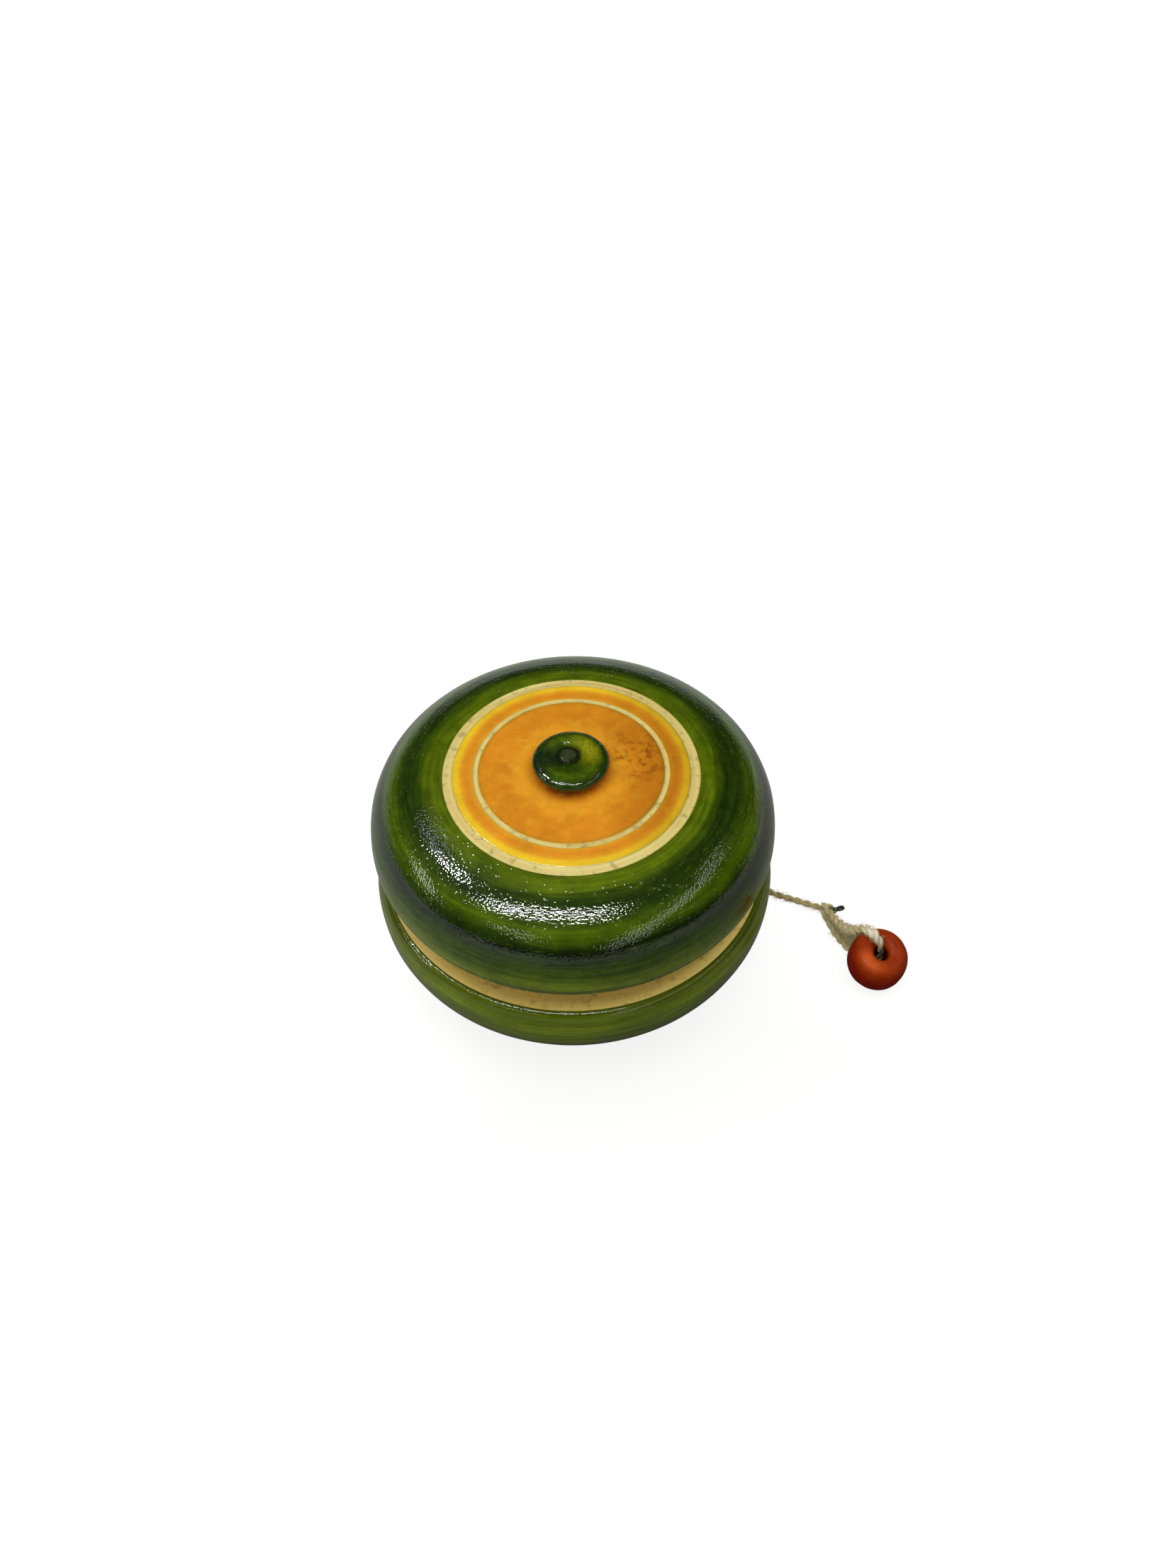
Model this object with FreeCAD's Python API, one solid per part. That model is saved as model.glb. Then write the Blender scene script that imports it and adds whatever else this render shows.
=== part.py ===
import FreeCAD, Part
import math
import os

# Turned wooden yo-yo, lying on one face, with its string run out to a finger bead.
# Millimetres. +Z is the axle. The origin is on the axle, at the land the toy stands on.

# Driving dimensions
BODY_RADIUS = 28.5          # widest radius of each half
HALF_TO_GAP_MID = 19.0      # from the land on a button to the middle of the string gap
GAP = 4.7                   # between the flat inner faces
INNER_FACE_RADIUS = 27.0    # where the flat inner face ends and the rim begins
WIDEST_HEIGHT = 5.335       # widest circle, above the middle of the gap
CROWN_HEIGHT = 16.44        # middle of the outer face, above the middle of the gap
RING_DEPTH = 0.12           # the bare rings are scraped this deep through the lac
THIN_RING = (12.86, 13.55)  # inner and outer radius
WIDE_RING = (16.41, 17.76)

AXLE_RADIUS = 4.0
AXLE_SEAT = 6.5             # depth that the axle is pressed into each half
SEAT_ROOM = 0.2             # left at the bottom of each blind bore
CHAMFER = 0.4

PEG_RADIUS = 2.5
PEG_LENGTH = 6.6
# Curves of the button's head, from its neck to its middle: (radius, depth below the land)
BUTTON_UNDER = [(3.6, 2.56), (3.6, 1.6), (4.3, 1.35), (4.9, 1.3)]
BUTTON_EDGE = [(4.9, 1.3), (5.13, 1.28), (5.28, 1.15), (5.28, 0.9)]
BUTTON_LIP = [(5.28, 0.9), (5.28, 0.45), (4.75, 0.05), (3.9, 0)]
BUTTON_DISH = [(3.6, 0), (3.1, 0), (2.7, 0.3), (2.2, 0.34)]
BUTTON_NUB = [(1.3, 0.36), (1.1, 0.05), (0.6, 0.03), (0, 0.03)]

STRING = 1.0                # diameter
RUNNING = 0.08              # radial room between the axle and the string's loop
SIDE_ROOM = 0.3             # between the winding and each inner face
LAYERS = 5                  # of string turns, one over another
TURNS_PER_LAYER = 4
KNOT_RADIUS = 1.1

# Curves of half the bead: (radius, height above its middle)
BEAD_MOUTH = [(1.1, 2.1), (1.25, 2.7), (1.9, 3.0), (2.6, 3.0)]
BEAD_SIDE = [(2.6, 3.0), (3.9, 3.0), (4.35, 1.6), (4.35, 0)]
BEAD_CENTRE = (43.84, -11.12, 3.6)
BEAD_LEAN = (0.139, -0.198)  # X and Y parts of the unit vector along its bore

# Middle line of the string, from the winding to the knot, and round the bead
LEAD_ROUTE = [
    (-1.0, 8.55, 18.5), (5.5, 9.4, 18.4), (11.5, 10.0, 18.1), (17.0, 10.75, 17.9),
    (20.9, 11.2, 17.9), (23.7, 11.6, 17.95), (25.6, 11.95, 17.3), (26.6, 12.05, 15.6),
    (26.8, 11.95, 13.1), (26.8, 11.8, 10.3), (26.7, 11.6, 7.6), (26.6, 11.2, 4.9),
    (26.7, 10.1, 2.5), (27.0, 8.2, 0.9), (27.7, 6.2, 0.55), (28.9, 4.75, 0.55),
    (30.7, 3.6, 0.55), (33.0, 2.65, 0.57), (35.4, 1.45, 0.7), (37.6, 0.25, 1.1),
]
LOOP_ROUTE = [
    (38.0, -0.4, 1.6), (38.8, -2.6, 2.1), (39.6, -4.6, 3.0), (40.4, -6.2, 4.3),
    (41.1, -7.2, 5.7), (41.9, -8.0, 7.1), (42.7, -9.1, 8.0), (43.7, -10.45, 7.75),
    (44.05, -11.25, 6.1), (43.95, -11.25, 4.2), (43.6, -11.0, 2.6), (43.2, -10.5, 1.2),
    (42.4, -9.3, 0.55), (41.2, -7.6, 0.52), (39.7, -5.4, 0.55), (38.3, -2.8, 0.6),
    (37.5, -0.4, 0.65),
]
TAIL_ROUTE = [(38.2, -0.3, 1.2), (40.3, -0.5, 2.3)]
TAIL_RADII = (0.45, 0.35)   # at the knot and at the tip

# Shape of the curves, as shares of the distance between their ends
RIM_FULLNESS = 0.62
SHOULDER_RISE = 0.935
SHOULDER_REACH = 0.628
ARC_SHARE = 0.45            # of the shorter run that an arc takes at a corner

Z = FreeCAD.Vector(0, 0, 1)
ORIGIN = FreeCAD.Vector(0, 0, 0)
GAP_MID = FreeCAD.Vector(0, 0, HALF_TO_GAP_MID)


def at(radius, height):
    """A point of a turned outline."""
    return FreeCAD.Vector(radius, 0, height)


def curve(*poles):
    """A Bezier edge through outline points (radius, height)."""
    bezier = Part.BezierCurve()
    bezier.setPoles([at(*pole) for pole in poles])
    return bezier.toShape()


def lines(*points):
    """Straight edges from one outline point to the next."""
    return [Part.makeLine(at(*a), at(*b)) for a, b in zip(points, points[1:])]


def turned(edges):
    """The solid turned about Z by a closed outline."""
    outline = Part.Wire(Part.sortEdges(edges)[0])
    solid = Part.Face(outline).revolve(ORIGIN, Z, 360)
    return Part.Solid(solid) if solid.ShapeType == "Shell" else solid


def crown_poles():
    rise = CROWN_HEIGHT - WIDEST_HEIGHT
    return [
        (BODY_RADIUS, WIDEST_HEIGHT),
        (BODY_RADIUS, WIDEST_HEIGHT + SHOULDER_RISE * rise),
        (BODY_RADIUS * SHOULDER_REACH, CROWN_HEIGHT),
        (0, CROWN_HEIGHT),
    ]


def crown_height(radius):
    """Height of the outer face above the middle of the gap, at a radius."""
    crown = curve(*crown_poles())
    upright = Part.makeLine(at(radius, GAP), at(radius, 2 * CROWN_HEIGHT))
    near = crown.distToShape(upright)[1][0][0]
    return near.z


def ring_groove(inner, outer):
    """The shallow channel of a bare ring, as the solid to cut away."""
    above = CROWN_HEIGHT + 1
    low_inner = crown_height(inner) - RING_DEPTH
    low_outer = crown_height(outer) - RING_DEPTH
    corners = [(inner, above), (inner, low_inner), (outer, low_outer), (outer, above)]
    return turned(lines(*corners, corners[0]))


def half():
    """The upper half, with the middle of the gap at Z = 0."""
    face = GAP / 2
    rim_out = BODY_RADIUS - INNER_FACE_RADIUS
    rim_up = WIDEST_HEIGHT - face
    rim = curve(
        (INNER_FACE_RADIUS, face),
        (INNER_FACE_RADIUS + RIM_FULLNESS * rim_out, face),
        (BODY_RADIUS, WIDEST_HEIGHT - RIM_FULLNESS * rim_up),
        (BODY_RADIUS, WIDEST_HEIGHT),
    )
    inner = lines((0, CROWN_HEIGHT), (0, face), (INNER_FACE_RADIUS, face))
    body = turned(inner + [rim, curve(*crown_poles())])
    seat = Part.makeCylinder(AXLE_RADIUS, face + AXLE_SEAT + SEAT_ROOM)
    peg_bore = Part.makeCylinder(PEG_RADIUS, 2 * CROWN_HEIGHT)
    cuts = [seat, peg_bore, ring_groove(*THIN_RING), ring_groove(*WIDE_RING)]
    return body.cut(cuts)


def axle():
    """The dowel across the gap, chamfered at both ends."""
    end = GAP / 2 + AXLE_SEAT
    side = [
        (0, end), (AXLE_RADIUS - CHAMFER, end), (AXLE_RADIUS, end - CHAMFER),
        (AXLE_RADIUS, CHAMFER - end), (AXLE_RADIUS - CHAMFER, -end), (0, -end),
    ]
    return turned(lines(*side, side[0]))


def head_points(poles):
    """Points of the button's head as outline points, gap middle at Z = 0."""
    return [(radius, HALF_TO_GAP_MID - depth) for radius, depth in poles]


def button():
    """The upper button: a peg with a dished mushroom head, gap middle at Z = 0."""
    neck_radius, head_height = BUTTON_UNDER[0]
    seat = HALF_TO_GAP_MID - head_height
    peg_end = seat - PEG_LENGTH
    nub_top = HALF_TO_GAP_MID - BUTTON_NUB[-1][1]
    peg = lines(
        (0, nub_top), (0, peg_end), (PEG_RADIUS - CHAMFER, peg_end),
        (PEG_RADIUS, peg_end + CHAMFER), (PEG_RADIUS, seat), (neck_radius, seat),
    )
    rounded = [
        curve(*head_points(poles))
        for poles in (BUTTON_UNDER, BUTTON_EDGE, BUTTON_LIP, BUTTON_DISH, BUTTON_NUB)
    ]
    land = lines(*head_points([BUTTON_LIP[-1], BUTTON_DISH[0]]))
    floor = lines(*head_points([BUTTON_DISH[-1], BUTTON_NUB[0]]))
    return turned(peg + rounded + land + floor)


def winding():
    """Outer shape of the string wound on the axle, gap middle at Z = 0."""
    inner = AXLE_RADIUS + RUNNING
    outer = inner + LAYERS * STRING
    height = GAP - 2 * SIDE_ROOM
    ring = Part.makeCylinder(outer, height, FreeCAD.Vector(0, 0, -height / 2))
    return ring.cut(Part.makeCylinder(inner, height, FreeCAD.Vector(0, 0, -height / 2)))


def tube(route, name):
    """A string tube: straight runs joined by tangent arcs, as large as the runs allow."""
    points = [FreeCAD.Vector(*p) for p in route]
    edges = []
    radii = []
    start = points[0]
    for before, corner, after in zip(points, points[1:], points[2:]):
        back = (before - corner).normalize()
        on = (after - corner).normalize()
        half_turn = (math.pi - back.getAngle(on)) / 2
        reach = ARC_SHARE * min((before - corner).Length, (after - corner).Length)
        radius = reach / math.tan(half_turn)
        arc_in = corner + back * reach
        arc_out = corner + on * reach
        inward = (back + on).normalize()
        middle = corner + inward * (radius / math.cos(half_turn) - radius)
        edges.append(Part.LineSegment(start, arc_in).toShape())
        edges.append(Part.Arc(arc_in, middle, arc_out).toShape())
        radii.append(radius)
        start = arc_out
    edges.append(Part.LineSegment(start, points[-1]).toShape())
    path = Part.Wire(edges)
    direction = points[1] - points[0]
    section = Part.Wire(Part.makeCircle(STRING / 2, points[0], direction))
    solid = path.makePipeShell([section], True, False)
    expected = math.pi * STRING ** 2 / 4 * path.Length
    print(
        name, "length", round(path.Length, 2), "volume ratio", round(solid.Volume / expected, 4),
        "radii in diameters", [round(r / STRING, 1) for r in radii],
    )
    return solid


def tail():
    """The short cut end beside the knot, tapering to its dipped tip."""
    start, end = [FreeCAD.Vector(*p) for p in TAIL_ROUTE]
    along = end - start
    return Part.makeCone(*TAIL_RADII, along.Length, start, along)


def bead():
    """The drum-shaped bead, funnelled at both mouths, leaning as it lies on the string."""
    bore, throat = BEAD_MOUTH[0]
    edges = lines((bore, -throat), (bore, throat))
    for side in (1, -1):
        for poles in (BEAD_MOUTH, BEAD_SIDE):
            edges.append(curve(*[(radius, side * height) for radius, height in poles]))
    solid = turned(edges)
    lean_x, lean_y = BEAD_LEAN
    along = FreeCAD.Vector(lean_x, lean_y, math.sqrt(1 - lean_x ** 2 - lean_y ** 2))
    solid.Placement = FreeCAD.Placement(
        FreeCAD.Vector(*BEAD_CENTRE), FreeCAD.Rotation(Z, along)
    )
    return solid


def placed(shape):
    """A shape drawn about the middle of the gap, moved to its place."""
    return shape.translated(GAP_MID)


def lower(shape):
    """The mirror image, below the gap, of a shape drawn about the middle of the gap."""
    return placed(shape.mirror(ORIGIN, Z))


def main():
    one_half = half()
    one_button = button()
    knot_centre = FreeCAD.Vector(*LEAD_ROUTE[-1])
    nodes = {
        "upper_half": placed(one_half),
        "lower_half": lower(one_half),
        "axle": placed(axle()),
        "upper_button": placed(one_button),
        "lower_button": lower(one_button),
        "string_winding": placed(winding()),
        "string_lead": tube(LEAD_ROUTE, "string_lead"),
        "string_knot": Part.makeSphere(KNOT_RADIUS, knot_centre),
        "string_bead_loop": tube(LOOP_ROUTE, "string_bead_loop"),
        "string_tail": tail(),
        "bead": bead(),
    }
    os.makedirs("parts", exist_ok=True)
    for name, shape in nodes.items():
        box = shape.BoundBox
        print(
            name, shape.ShapeType, len(shape.Solids), shape.isValid(), round(shape.Volume, 2),
            [round(v, 2) for v in (box.XMin, box.XMax, box.YMin, box.YMax, box.ZMin, box.ZMax)],
        )
        shape.exportStep(os.path.join("parts", name + ".step"))


main()
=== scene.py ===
import math
import random

import bpy
import numpy as np
from mathutils import Matrix, Vector, noise


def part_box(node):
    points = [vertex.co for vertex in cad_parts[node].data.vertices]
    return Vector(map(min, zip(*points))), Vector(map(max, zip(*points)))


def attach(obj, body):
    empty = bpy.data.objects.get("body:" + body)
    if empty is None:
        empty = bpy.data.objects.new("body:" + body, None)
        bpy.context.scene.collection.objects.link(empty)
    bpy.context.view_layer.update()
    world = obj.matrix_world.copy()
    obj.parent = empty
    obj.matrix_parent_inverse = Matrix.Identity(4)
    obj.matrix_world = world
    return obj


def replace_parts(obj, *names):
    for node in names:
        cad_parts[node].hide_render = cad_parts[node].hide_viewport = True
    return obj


# The looks of a turned wooden yo-yo in green and orange lac, with its string and finger bead.
# Turned outlines are in millimetres, heights from the middle of the string gap.
# Objects, routes and places are in metres, in the row frame.

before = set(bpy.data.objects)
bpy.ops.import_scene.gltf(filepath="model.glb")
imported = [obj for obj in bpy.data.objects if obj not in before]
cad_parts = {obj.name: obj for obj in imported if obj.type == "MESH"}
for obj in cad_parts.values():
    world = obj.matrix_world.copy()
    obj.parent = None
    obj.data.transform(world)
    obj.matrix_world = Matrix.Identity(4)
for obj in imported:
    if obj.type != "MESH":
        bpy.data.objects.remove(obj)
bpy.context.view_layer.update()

MM = 0.001
UPPER_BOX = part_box("upper_half")
LOWER_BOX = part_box("lower_half")
BUTTON_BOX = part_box("upper_button")
AXLE_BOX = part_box("axle")
GAP_MID = (UPPER_BOX[0].z + LOWER_BOX[1].z) / 2
GAP = (UPPER_BOX[0].z - LOWER_BOX[1].z) / MM
BODY_RADIUS = UPPER_BOX[1].x / MM
CROWN_HEIGHT = (UPPER_BOX[1].z - GAP_MID) / MM
BUTTON_TOP = (BUTTON_BOX[1].z - GAP_MID) / MM
PEG_END = (BUTTON_BOX[0].z - GAP_MID) / MM
AXLE_RADIUS = AXLE_BOX[1].x / MM
AXLE_END = (AXLE_BOX[1].z - GAP_MID) / MM

# Outline of a half
INNER_FACE_RADIUS = 27.0
WIDEST_HEIGHT = 5.335
RIM_FULLNESS = 0.62
SHOULDER_RISE = 0.935
SHOULDER_REACH = 0.628
THIN_RING = (12.86, 13.55)   # bare rings, as distances along the outline from the axle
WIDE_RING = (16.44, 17.80)
RING_DEPTH = 0.12
RING_WALL = 0.1              # width of a ring's sloping edge
SEAT_ROOM = 0.2
PEG_RADIUS = 2.5
PEG_CHAMFER = 0.4

# Curves of the button's head, from its neck to its middle: (radius, depth below the land)
BUTTON_UNDER = [(3.6, 2.56), (3.6, 1.6), (4.3, 1.35), (4.9, 1.3)]
BUTTON_EDGE = [(4.9, 1.3), (5.13, 1.28), (5.28, 1.15), (5.28, 0.9)]
BUTTON_LIP = [(5.28, 0.9), (5.28, 0.45), (4.75, 0.05), (3.9, 0)]
BUTTON_DISH = [(3.6, 0), (3.1, 0), (2.7, 0.3), (2.2, 0.34)]
BUTTON_NUB = [(1.3, 0.36), (1.1, 0.05), (0.6, 0.03), (0, 0.03)]
NUB_SHIFT = Vector((-0.0004, 0.0006, 0))    # the nub was left off centre, in metres
NUB_EDGE = 1.0               # radius up to which the whole shift holds, and the width of its fade
NUB_FADE = 2.4

# What the lathe and the brush left
LAC_RIPPLES = ((3.1, 0.010, 0.4), (1.75, 0.004, 1.9))   # wavelength, height, phase
FACE_RIPPLES = ((2.3, 0.018, 0.0), (1.1, 0.008, 1.0))
RUBBED_AT = (0.0092, 0.0022)  # where fingers have rubbed the orange, in metres
LAC_SWELL = 0.012            # height of the slow swells in the lac
LAC_SWELL_SIZE = 5.0
HALF_SEGMENTS = 320
BUTTON_SEGMENTS = 144
BEAD_SEGMENTS = 112
TABLE_SEGMENTS = 96
OUTLINE_STEP = 0.35
BUTTON_STEP = 0.12
PEG_STEP = 1.2
BEAD_STEP = 0.16
BUTTON_WOBBLE = 0.03         # height of the button's unevenness
BUTTON_WOBBLE_SIZE = 1.6
BEAD_UNEVEN = ((3.2, 0.02), (1.0, 0.0048))  # size of the bead's unevenness, and its share of the radius

# String
STRING = 0.001
LAYERS = 5
TURNS_PER_LAYER = 4
POINTS_PER_TURN = 16
AXLE_ROOM = 0.00008
SIDE_ROOM = 0.0003
CROSSING_TURNS = 0.4         # the last stretch, which crosses back over the outer layer
CROSSING_LIFT = 0.0008
LEAVES_AT = math.radians(96.7)
TWIST = 0.0030               # length of one turn of the plies
PLY_OFFSET = 0.2             # from the string's middle to a ply's, as a share of its thickness
PLY_RADIUS = 0.31            # as a share of the string's thickness
PLY_LOOSENESS = 0.1          # how much a ply's radius varies
LOOSE_STEP = 0.0015          # how often it varies along the string
OVER_BEAD = 0.5              # extra thickness where the string spreads over the bead
FRAYED = 0.62                # extra thickness where it is frayed
SQUEEZED = 0.15              # thickness lost in the bead's bore
KNOT_SIZE = 0.00028
LEAD_ROUTE = [
    (-0.0010, 0.00855, 0.0185), (0.0055, 0.0094, 0.0184), (0.0115, 0.0100, 0.0181),
    (0.0170, 0.01075, 0.0179), (0.0209, 0.0112, 0.0179), (0.0237, 0.0116, 0.01795),
    (0.0256, 0.01195, 0.0173), (0.0266, 0.01205, 0.0156), (0.0268, 0.01195, 0.0131),
    (0.0268, 0.0118, 0.0103), (0.0267, 0.0116, 0.0076), (0.0266, 0.0112, 0.0049),
    (0.0267, 0.0101, 0.0025), (0.0270, 0.0082, 0.0009), (0.0277, 0.0062, 0.00055),
    (0.0289, 0.00475, 0.00055), (0.0307, 0.0036, 0.00055), (0.0330, 0.00265, 0.00057),
    (0.0354, 0.00145, 0.0007), (0.0376, 0.00025, 0.0011),
]
LOOP_ROUTE = [
    (0.0380, -0.0004, 0.0016), (0.0388, -0.0026, 0.0021), (0.0396, -0.0046, 0.0030),
    (0.0404, -0.0062, 0.0043), (0.0411, -0.0072, 0.0057), (0.0419, -0.0080, 0.0071),
    (0.0427, -0.0091, 0.0080), (0.0437, -0.01045, 0.00775), (0.04405, -0.01125, 0.0061),
    (0.04395, -0.01125, 0.0042), (0.0436, -0.0110, 0.0026), (0.0432, -0.0105, 0.0012),
    (0.0424, -0.0093, 0.00055), (0.0412, -0.0076, 0.00052), (0.0397, -0.0054, 0.00055),
    (0.0383, -0.0028, 0.0006), (0.0375, -0.0004, 0.00065),
]
TAIL_ROUTE = [(0.0382, -0.0003, 0.0012), (0.0393, -0.0004, 0.0018), (0.0403, -0.0005, 0.0023)]
KNOT_CENTRE = Vector(LEAD_ROUTE[-1])

# Bead: curves of half of it, (radius, height above its middle)
BEAD_MOUTH = [(1.1, 2.1), (1.25, 2.7), (1.9, 3.0), (2.6, 3.0)]
BEAD_SIDE = [(2.6, 3.0), (3.9, 3.0), (4.35, 1.6), (4.35, 0)]
BEAD_WEAR_AND_HIGHLIGHT = (-0.0018, -0.0018, 0.0030)    # paler spot beside the upper mouth, in its own frame: partly wear, partly a painted highlight
BEAD_CENTRE = Vector((0.04384, -0.01112, 0.0036))
BEAD_LEAN = Vector((0.139, -0.198, 0.9703))

FIBRES = 900                 # loose hairs on the string
FIBRE_RADIUS = 0.000028
HAIR_PAINTED_LIGHT = 0.15             # how much paler the frayed stretch and its hairs are: painted light against the shade among the hairs
STRAND_FIBRES = 620          # hairs from one strand of the loop to the other
BEAD_CLEAR = 0.0033          # no hairs stand nearer than this to the bead's middle
FRAYED_AT = (0.0404, -0.0060, 0.0026)
FRAYED_REACH = 0.0076
WORN_AT = (0.0428, -0.0096, 0.0082)
WORN_REACH = 0.0030
SUNK_HEIGHT = 0.0021          # how far above the bead's middle the shade in its bore centres
SUNK_REACH = 0.0027
HAIR_LENGTHS = (0.0005, 0.0016)
STRANDS_END = 0.0102         # how far from the knot hairs join the loop's two strands
STRAND_DIVIDE = 0.0014       # a height between the upper strand and the lower one
TABLE_GLOW = 0.86            # brightness that a lens sees on the table, besides its lit part

# Camera
CAMERA_PLACE = Vector((0, -0.16948, 0.2303))
CAMERA_AIM = Vector((0.00869, 0.65009, -0.7598))
CAMERA_ROLL = math.radians(-1.333)
LENS = 57.7


def srgb(red, green, blue):
    """A linear colour from 0 to 255 display values."""
    return tuple(
        c / 255 / 12.92 if c <= 10 else ((c / 255 + 0.055) / 1.055) ** 2.4
        for c in (red, green, blue)
    )


# Colours
BUTTON_NUB_TOP = srgb(54, 62, 38)
LIME = srgb(112, 126, 16)
LEAF = srgb(84, 102, 10)
MOSS = srgb(56, 76, 8)
BOTTLE = srgb(34, 52, 8)
NIGHT = srgb(14, 24, 5)
ORANGE = srgb(202, 128, 27)
AMBER = srgb(210, 142, 32)
YELLOW = srgb(222, 182, 36)
RUST = srgb(128, 66, 14)
RING_EDGE = srgb(180, 152, 52)
CREAM = srgb(206, 194, 120)
COTTON_PALE = srgb(216, 200, 138)
COTTON_DULL = srgb(170, 152, 88)
COTTON_DIRT = srgb(140, 132, 70)
SHADED_STRING = srgb(30, 23, 14)
CREAM_DARK = srgb(190, 164, 88)
BARE_WOOD = srgb(248, 226, 132)
BARE_WOOD_DARK = srgb(230, 200, 106)
DOWEL_LIGHT = srgb(206, 176, 112)
DOWEL_DARK = srgb(150, 116, 62)


# ------------------------------------------------------------------ materials

class Recipe:
    """A material being made. Each method adds one step and returns what comes out of it."""

    def __init__(self, name):
        self.material = bpy.data.materials.new(name)
        self.material.use_nodes = True
        self.nodes = self.material.node_tree.nodes
        self.links = self.material.node_tree.links
        self.surface = self.nodes["Principled BSDF"]

    def feed(self, socket, value):
        if isinstance(value, bpy.types.NodeSocket):
            self.links.new(value, socket)
        elif socket.type == "RGBA":
            socket.default_value = (*value, 1)
        else:
            socket.default_value = value

    def put(self, **inputs):
        """Sets or links inputs of the surface shader, written with _ for a space."""
        for name, value in inputs.items():
            self.feed(self.surface.inputs[name.replace("_", " ")], value)

    def step(self, kind, *values, out=0, **settings):
        node = self.nodes.new("ShaderNode" + kind)
        for name, value in settings.items():
            setattr(node, name, value)
        for socket, value in zip(node.inputs, values):
            if value is not None:
                self.feed(socket, value)
        return node.outputs[out]

    def place(self):
        """The point in the object's own frame, in metres."""
        return self.step("TexCoord", out=3)

    def measure(self, name):
        """A number that the mesh carries."""
        return self.step("Attribute", attribute_name=name, out=2)

    def math(self, operation, *values):
        return self.step("Math", *values, operation=operation)

    def scaled(self, vector, amount):
        return self.step("VectorMath", vector, None, None, amount, operation="SCALE")

    def distance(self, vector, point):
        return self.step("VectorMath", vector, point, operation="DISTANCE", out=1)

    def join(self, x, y, z):
        return self.step("CombineXYZ", x, y, z)

    def noise(self, vector, scale=1.0, detail=2.0, roughness=0.5):
        return self.step("TexNoise", vector, None, scale, detail, roughness)

    def cells(self, vector, scale):
        """The distance to the nearest of many scattered points."""
        return self.step("TexVoronoi", vector, None, scale)

    def between(self, value, low, high, to_low=0.0, to_high=1.0):
        """A value spread from one range to another, and held at its ends."""
        return self.step("MapRange", value, low, high, to_low, to_high)

    def blend(self, share, first, second, kind="MIX"):
        node = self.nodes.new("ShaderNodeMix")
        node.data_type = "RGBA"
        node.blend_type = kind
        for index, value in ((0, share), (6, first), (7, second)):
            self.feed(node.inputs[index], value)
        return node.outputs[2]

    def ramp(self, value, stops):
        """A colour by a measure; stops are (measure, colour), and the last one sets the span."""
        span = stops[-1][0]
        node = self.nodes.new("ShaderNodeValToRGB")
        self.feed(node.inputs[0], self.math("DIVIDE", value, span))
        line = node.color_ramp
        line.elements[0].color = (*stops[0][1], 1)
        line.elements[1].color = (*stops[-1][1], 1)
        line.elements[0].position = stops[0][0] / span
        for at, colour in stops[1:-1]:
            line.elements.new(at / span).color = (*colour, 1)
        return node.outputs[0]

    def bump(self, height, distance, strength=1.0, below=None):
        """A normal with that relief; distance is what a height of one stands for, in metres."""
        return self.step("Bump", strength, distance, None, height, below)

    def turned_noise(self, along, arc, across, seed=0.0, detail=3.0):
        """Noise in rings about Z: arc is how often it changes in a turn, across per millimetre."""
        spot = self.place()
        flat = self.step("VectorMath", spot, (1, 1, 0), operation="MULTIPLY")
        unit = self.step("VectorMath", flat, operation="NORMALIZE")
        sweep = self.scaled(unit, arc)
        x = self.step("SeparateXYZ", sweep, out=0)
        y = self.step("SeparateXYZ", sweep, out=1)
        z = self.math("MULTIPLY_ADD", along, across, seed)
        return self.noise(self.join(x, y, z), 1.0, detail, 0.55)


def lac_relief(recipe, along):
    """Fine relief of brushed and burnished lac: rings, orange peel and specks of dust."""
    spot = recipe.place()
    rings = recipe.turned_noise(along, 1.2, 1.6, seed=4.0, detail=3.0)
    reach = recipe.cells(spot, 2600)
    peel = recipe.math("SUBTRACT", 1.0, recipe.math("MULTIPLY", reach, reach))
    dust = recipe.between(recipe.cells(spot, 1300), 0.0, 0.26, 1.0, 0.0)
    rough = recipe.between(recipe.noise(spot, 300, 3), 0.34, 0.52)
    specks = recipe.math("MULTIPLY", dust, rough)
    first = recipe.bump(rings, 0.00005, 0.5)
    second = recipe.bump(peel, 0.000022, 1.0, first)
    return recipe.bump(specks, 0.00006, 0.8, second)


def lac_finish(recipe, along, gloss=0.85):
    recipe.put(
        Roughness=0.4, Coat_Weight=gloss, Coat_Roughness=0.05, Coat_IOR=1.5,
        Specular_IOR_Level=0.015,
    )
    relief = lac_relief(recipe, along)
    recipe.put(Normal=relief, Coat_Normal=relief)


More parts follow.
